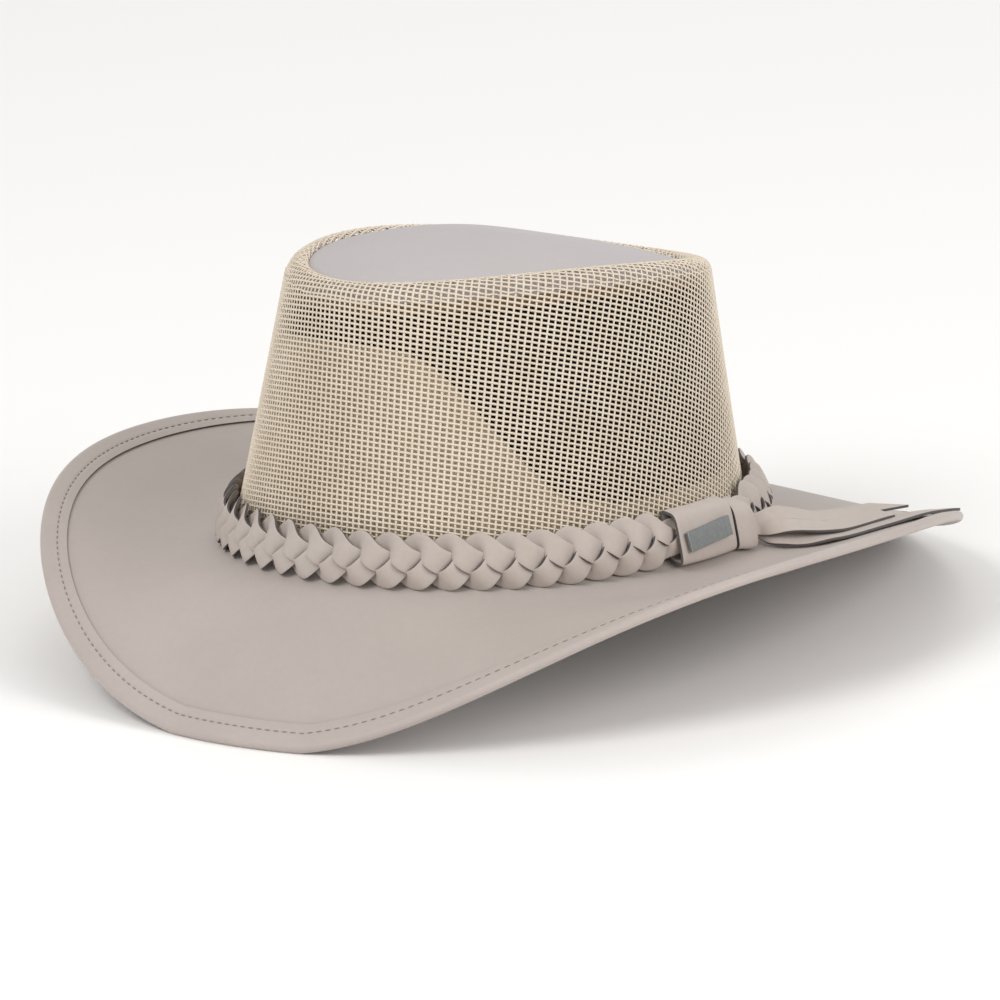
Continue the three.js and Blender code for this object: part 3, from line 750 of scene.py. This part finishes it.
# The band is a flat braid of three strips of the same hide. Each strip sweeps from edge to edge and
# turns over there, and passes over one strip and under the next. Its cut edges are charcoal, partly
# the hide's own colour right through and partly painted shade.
LEAVES = 55
LAPS = 3
STRIP_WIDTH = 8.4
STRIP_LEATHER = 1.1
BRAID_HEIGHT = 18.6
SWEEP = 5.2
SHARPNESS = 0.9
OVER_UNDER = 2.1
EDGE_TURN = 0.3
CROWNING = 0.3
MITRE = 0.2
BAND_MIDDLE = 4.2
BRIM_FALL = {
    "turn": [0, 50, 84, 102, 125, 180, 300, 360],
    "fall": [0.41, 0.4, 0.14, 0.28, 0.5, 0.4, 0.4, 0.41],
}
PRESSED = {"from": 83, "to": 112.5, "blend": 4, "narrow": 0.66, "flat": 0.72, "out": 4.7, "up": 9.6}
STAND_OFF = {"from": 113, "full": 128, "ease": 140, "to": 168, "high": 1.0, "low": 4.2}
strip_leather = leather_material("stone_cowhide_strips", "#bab0a9", "#ada199", grain=0.7, depth=0.1)


def ramp(value, start, end):
    share = np.clip((value - start) / (end - start), 0, 1)
    return share * share * (3 - 2 * share)


def hung(angle, out):
    """How far a piece hangs down at a distance out from the crown, as the brim falls away from there."""
    return np.interp(np.degrees(angle) % 360, BRIM_FALL["turn"], BRIM_FALL["fall"]) * out


def in_band(x, y, z):
    """A place in the band: x along it from the front, y and z up and out from its middle."""
    angle = angle_at_length(x)
    degrees = np.degrees(angle) % 360
    blend = PRESSED["blend"]
    pressed = ramp(degrees, PRESSED["from"] - blend, PRESSED["from"])
    pressed *= 1 - ramp(degrees, PRESSED["to"], PRESSED["to"] + blend)
    up = GAP + BRAID_HEIGHT / 2 + y
    up += (PRESSED["up"] + y * PRESSED["narrow"] - up) * pressed
    out = BAND_MIDDLE + z
    out += (PRESSED["out"] + z * PRESSED["flat"] - out) * pressed
    leaving = ramp(degrees, STAND_OFF["from"], STAND_OFF["full"])
    leaving *= 1 - ramp(degrees, STAND_OFF["ease"], STAND_OFF["to"])
    low = np.clip(0.5 - y / BRAID_HEIGHT, 0, 1)
    out += (STAND_OFF["high"] + (STAND_OFF["low"] - STAND_OFF["high"]) * low) * leaving
    return on_wall(angle, out, LEATHER / 2 + up - hung(angle, out))


def strip_path(phase):
    """The middle line of a strip: it zigzags over the band, and over and under the other two."""
    x = phase / math.tau * FOOT_ROUND * LAPS / LEAVES
    zigzag = np.arcsin(SHARPNESS * np.cos(phase)) / math.asin(SHARPNESS)
    return np.stack([x, SWEEP * zigzag, OVER_UNDER * np.sin(2 * phase)], axis=-1)


def lay_strips(u, v):
    """The three strips join end to end, so one strip is laid three times round the hat."""
    phase = u * LEAVES * math.tau
    path = strip_path(phase)
    ahead = unit(strip_path(phase + 0.01) - path)
    face = np.stack([np.zeros_like(phase), EDGE_TURN * np.cos(phase), np.ones_like(phase)], axis=-1)
    face = unit(face - (face * ahead).sum(-1, keepdims=True) * ahead)
    across = np.cross(face, ahead)
    slanted = across + np.array([0, MITRE, 0]) * np.sign(across[:, 1:2])
    across = slanted / (slanted * across).sum(-1, keepdims=True)
    spot = path + across * (v * STRIP_WIDTH / 2)[:, None] + face * (CROWNING * (1 - v**2))[:, None]
    return in_band(*spot.T)


braid = laid_sheet("plaited_strips", LEAVES * 42, 6, lay_strips, closed=True)
finish_leather(braid, STRIP_LEATHER, [strip_leather, dark_edge_and_shade], rounding=0.22)
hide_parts("hat_band")
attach(braid, "root")

# Two loops of the same hide are wrapped round the band and glued behind: a wide one that carries the
# plate, and a narrow one that holds the tails and is drawn in at the edge near the plate.
KEEPER = {"from": 83.6, "to": 101.3, "back": 0.65, "front": 9.2, "low": 0.5, "high": 18.6}
TAIL_LOOP = {"from": 101.7, "to": 106.8, "back": 0.65, "front": 12.6, "low": 0.5, "high": 16.8, "near": 9.8}
LOOP_LEATHER = 1.3
LOOP_SQUARENESS = 4.6


def make_loop(name, loop, node, rows):
    def corner(value):
        return np.sign(value) * np.abs(value) ** (2 / LOOP_SQUARENESS)

    def lay_loop(u, v):
        turn = u * math.tau
        angle = np.radians(loop["from"] + (loop["to"] - loop["from"]) * (v + 1) / 2)
        near = loop.get("near", loop["front"])
        front = near + (loop["front"] - near) * ramp(v, -1.0, 0.4)
        half_out = (front - loop["back"] - LOOP_LEATHER) / 2
        half_up = (loop["high"] - loop["low"] - LOOP_LEATHER) / 2
        out = (front + loop["back"]) / 2 + half_out * corner(np.cos(turn))
        up = (loop["high"] + loop["low"]) / 2 + half_up * corner(np.sin(turn))
        return on_wall(angle, out, LEATHER / 2 + up - hung(angle, out))

    piece = laid_sheet(name, 96, rows, lay_loop, closed=True)
    bpy.ops.object.mode_set(mode="EDIT")
    bpy.ops.mesh.select_all(action="SELECT")
    bpy.ops.mesh.normals_make_consistent(inside=False)
    bpy.ops.object.mode_set(mode="OBJECT")
    finish_leather(piece, LOOP_LEATHER, [strip_leather, dark_edge_and_shade], rounding=0.25)
    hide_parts(node)
    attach(piece, "root")


make_loop("plate_keeper", KEEPER, "keeper", 16)
make_loop("tails_loop", TAIL_LOOP, "tail_loop", 8)

# The plate is a bare pewter tablet with a raised border, glued to the wide loop.
PLATE = {"length": 26, "height": 7.4, "thickness": 1.2, "turn": 91.7, "up": 8, "border": 0.7, "sunk": 0.2}
pewter, pewter_tree, pewter_shader = start_material("brushed_pewter", Metallic=1.0, Roughness=0.42)
pewter_place = add_node(pewter_tree, "TexCoord", {}).outputs["Object"]
pewter_noise = add_node(pewter_tree, "TexNoise", {"Vector": pewter_place, "Scale": 700, "Detail": 4})
pewter_colour = add_node(
    pewter_tree,
    "Mix",
    {"Factor": pewter_noise.outputs["Fac"], "A": linear("#a5a9a8"), "B": linear("#83888a")},
    data_type="RGBA",
)
pewter_tree.links.new(pewter_colour.outputs[2], pewter_shader.inputs["Base Color"])
bpy.ops.mesh.primitive_cube_add(size=1)
plate = bpy.context.object
plate.name = "bare_plate"
plate_size = Vector((PLATE["length"], PLATE["height"], PLATE["thickness"])) * MM
plate.data.transform(Matrix.Diagonal((*plate_size, 1)))
for face in plate.data.polygons:
    face.select = face.normal.z > 0.9
bpy.ops.object.mode_set(mode="EDIT")
bpy.ops.mesh.select_mode(type="FACE")
bpy.ops.mesh.inset(thickness=PLATE["border"] * MM)
bpy.ops.transform.translate(value=(0, 0, -PLATE["sunk"] * MM))
bpy.ops.object.mode_set(mode="OBJECT")
use_modifier(plate, "BEVEL", width=0.12 * MM, segments=2)
plate_angle = np.array(math.radians(PLATE["turn"]))
plate_along = on_wall(plate_angle + 0.01, 0, 0.0) - on_wall(plate_angle - 0.01, 0, 0.0)
plate_along[2] = 0
plate_along = unit(plate_along)
plate_up = unit(on_wall(plate_angle, 0, 10.0) - on_wall(plate_angle, 0, 0.0))
plate_out = unit(np.cross(plate_along, plate_up))
plate_middle = on_wall(plate_angle, 0, LEATHER / 2 + PLATE["up"] - hung(plate_angle, KEEPER["front"]))
plate_middle = plate_middle + plate_out * (KEEPER["front"] + GAP + PLATE["thickness"] / 2)
axes = Matrix(np.stack([plate_along, np.cross(plate_out, plate_along), plate_out]).tolist()).transposed()
plate.data.transform(Matrix.Translation(Vector(plate_middle) * MM) @ axes.to_4x4())
plate.data.materials.append(pewter)
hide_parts("keeper_plate")
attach(plate, "root")

# The two tails are flat straps. They leave the narrow loop on edge, one before the other, fall over
# and lie on the brim; each end is cut in a slanting step.
STRAP_LEATHER = 1.0
TAIL_ROWS = 13
TAIL_OUT = 8.8
TAIL_SPACING = 1.9
IN_LOOP = {"turn": [104.4, 110], "up": [4.6, 4.2], "edgewise": [75, 74], "width": [8, 8.2]}
TAILS = {
    "tail_lower": {
        "layer": 0,
        "step": 9.5,
        "slant": 8,
        "x": [102, 114, 126, 133, 137],
        "y": [40, 51.5, 66, 78.5, 87.5],
        "lift": [4.4, 1.5, 1.2, 1.9, 1.9],
        "edgewise": [20, 0, 0, 0, 0],
        "width": [16, 21, 21, 20.5, 20],
    },
    "tail_upper": {
        "layer": 1,
        "step": 13,
        "slant": 11,
        "x": [101.2, 107.5, 116],
        "y": [41.6, 57, 79],
        "lift": [7.4, 3.2, 2.3],
        "edgewise": [24, 12, 9],
        "width": [14.5, 21, 21],
    },
}


def brim_top_under(x, y):
    """The height of the brim's upper face under places in plan."""
    angle = np.arctan2(x / CROWN_FOOT["side"], -(y - CROWN_FOOT["back"]) / CROWN_FOOT["front"])
    for _ in range(12):
        foot = brim_middle(angle, np.zeros_like(angle))
        run = (brim_middle(angle, np.ones_like(angle)) - foot)[..., :2]
        share = ((x - foot[..., 0]) * run[..., 0] + (y - foot[..., 1]) * run[..., 1]) / (run**2).sum(-1)
        here = brim_middle(angle, share)
        spin = (brim_middle(angle + 0.01, share) - here)[..., :2] / 0.01
        aside = (x - here[..., 0]) * spin[..., 0] + (y - here[..., 1]) * spin[..., 1]
        angle = angle + aside / (spin**2).sum(-1)
    return brim_middle(angle, share)[..., 2] + LEATHER / 2 / brim_normal(angle, share)[..., 2]


def make_tail(name, tail):
    turns = np.radians(IN_LOOP["turn"])
    held = on_wall(turns, TAIL_OUT, LEATHER / 2 + np.array(IN_LOOP["up"]))
    x, y = np.array(tail["x"], float), np.array(tail["y"], float)
    lying = np.stack([x, y, brim_top_under(x, y) + tail["lift"]], axis=-1)
    points = np.concatenate([held, lying])
    marks = np.concatenate([[0], np.cumsum(np.linalg.norm(np.diff(points, axis=0), axis=1) ** 0.5)])
    per_span = 80
    spans = np.arange((len(points) - 1) * per_span + 1) / per_span
    fine = np.interp(spans, np.arange(len(points)), marks)
    line = curve_through(marks, points, fine)
    lengths = np.concatenate([[0], np.cumsum(np.linalg.norm(np.diff(line, axis=0), axis=1))])
    length = lengths[-1]
    way = unit(np.gradient(line, axis=0))
    edgewise = np.radians(IN_LOOP["edgewise"] + tail["edgewise"])
    widths = np.array(IN_LOOP["width"] + tail["width"], float)
    stations = lengths[::per_span]

    def eased(along, values):
        part = np.interp(along, stations, np.arange(len(stations)))
        first = np.clip(part.astype(int), 0, len(stations) - 2)
        return values[first] + (values[first + 1] - values[first]) * ramp(part - first, 0, 1)

    def lay_tail(u, v):
        """The two middle rows lie close together, so that the step in the end is cut square."""
        across = np.interp(v, [-1, -1 / TAIL_ROWS, 1 / TAIL_ROWS, 1], [-1, -0.015, 0.015, 1])
        along = u * (length + (tail["step"] - tail["slant"] * across) * (across > 0))
        kept = np.minimum(along, length)
        centre = np.stack([np.interp(kept, lengths, line[:, k]) for k in range(3)], axis=-1)
        forward = unit(np.stack([np.interp(kept, lengths, way[:, k]) for k in range(3)], axis=-1))
        last_under = brim_top_under(centre[:, 0], centre[:, 1])
        centre = centre + forward * [1, 1, 0] * (along - kept)[:, None]
        under = brim_top_under(centre[:, 0], centre[:, 1])
        centre[:, 2] += under - last_under
        inward = unit(np.cross([0, 0, 1], forward))
        rise = np.cross(forward, inward)
        turned = eased(kept, edgewise)
        width = inward * np.cos(turned)[:, None] + rise * np.sin(turned)[:, None]
        face = np.cross(forward, width)
        spot = centre + width * (across * eased(kept, widths) / 2)[:, None]
        spot[:, 2] += (brim_top_under(spot[:, 0], spot[:, 1]) - under) * np.cos(turned) ** 2
        return spot + face * (tail["layer"] * TAIL_SPACING)

    piece = laid_sheet(name + "_strap", 60, TAIL_ROWS, lay_tail)
    finish_leather(piece, STRAP_LEATHER, [strip_leather, dark_edge_and_shade], rounding=0.2)
    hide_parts(name)
    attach(piece, "root")


for name, tail in TAILS.items():
    make_tail(name, tail)

bpy.ops.object.select_all(action="DESELECT")
